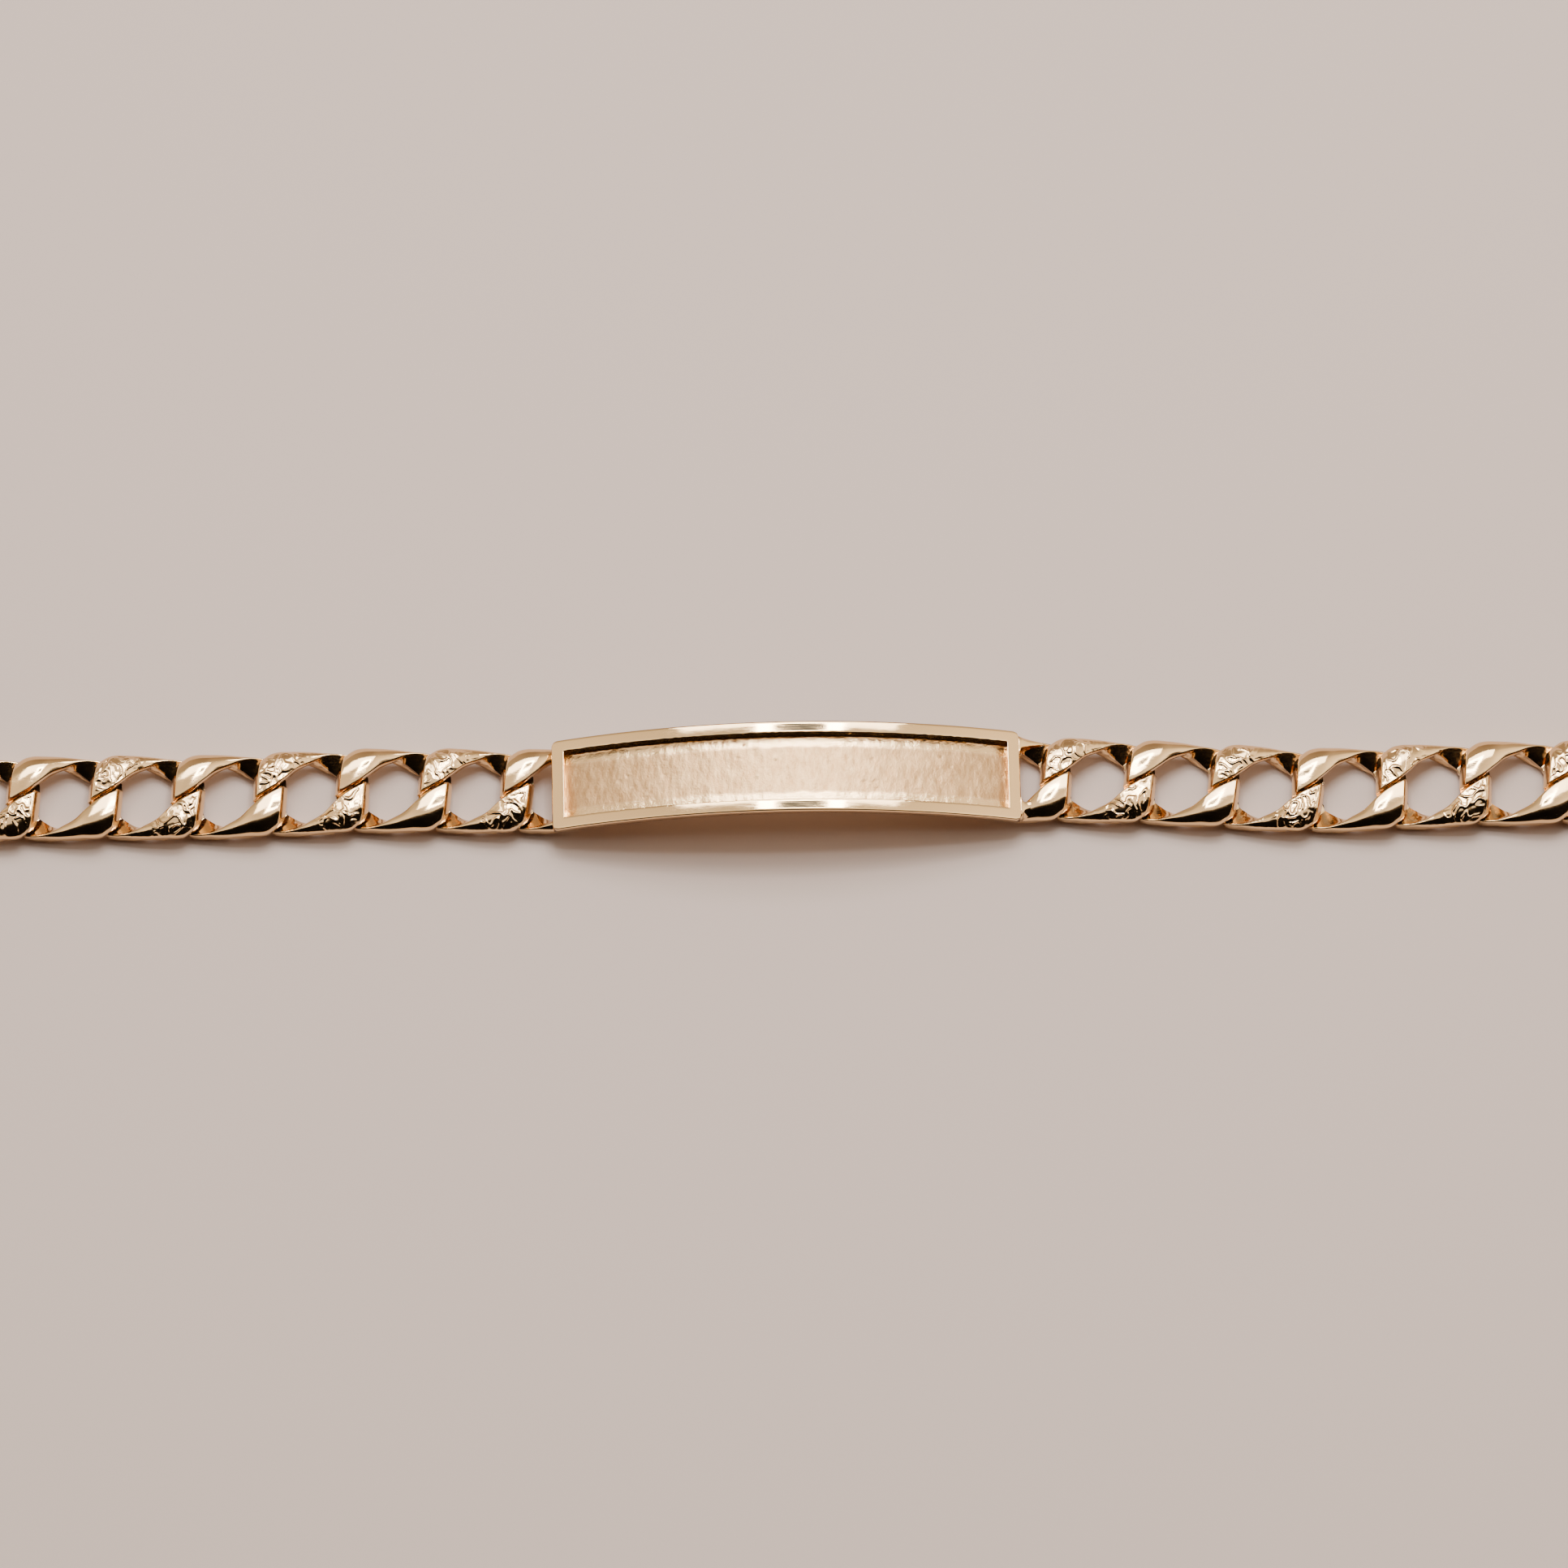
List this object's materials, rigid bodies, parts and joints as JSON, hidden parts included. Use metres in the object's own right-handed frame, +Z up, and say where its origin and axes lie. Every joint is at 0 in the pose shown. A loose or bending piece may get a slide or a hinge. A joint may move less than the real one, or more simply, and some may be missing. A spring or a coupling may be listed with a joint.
{
  "type": "id bracelet",
  "caption": "Id bracelet laid straight: arched name plate with raised border and sunk panel, flat curb links alternating plain and bark textured, claw clasp.",
  "frame": {"origin": "below the middle of the bracelet's box, on the surface that it lies on", "axes": "+X along the bracelet towards the clasp, +Z up out of the plate's face"},
  "size_m": [0.1878, 0.008, 0.0057],
  "materials": {
    "polished_gold": "polished",
    "bark_gold": "cast bark, polished"
  },
  "bodies": {
    "root": {"id_plate": "polished_gold", "link_left_01": "bark_gold", "link_left_02": "polished_gold", "link_left_03": "bark_gold", "link_left_04": "polished_gold", "link_left_05": "bark_gold", "link_left_06": "polished_gold", "link_left_07": "bark_gold", "link_left_08": "polished_gold", "link_left_09": "bark_gold", "link_left_10": "polished_gold", "link_left_11": "bark_gold", "link_left_12": "polished_gold", "link_right_01": "bark_gold", "link_right_02": "polished_gold", "link_right_03": "bark_gold", "link_right_04": "polished_gold", "link_right_05": "bark_gold", "link_right_06": "polished_gold", "link_right_07": "bark_gold", "link_right_08": "polished_gold", "link_right_09": "bark_gold", "link_right_10": "polished_gold", "link_right_11": "bark_gold", "link_right_12": "polished_gold", "clasp": "polished_gold"}
  },
  "joints": []
}
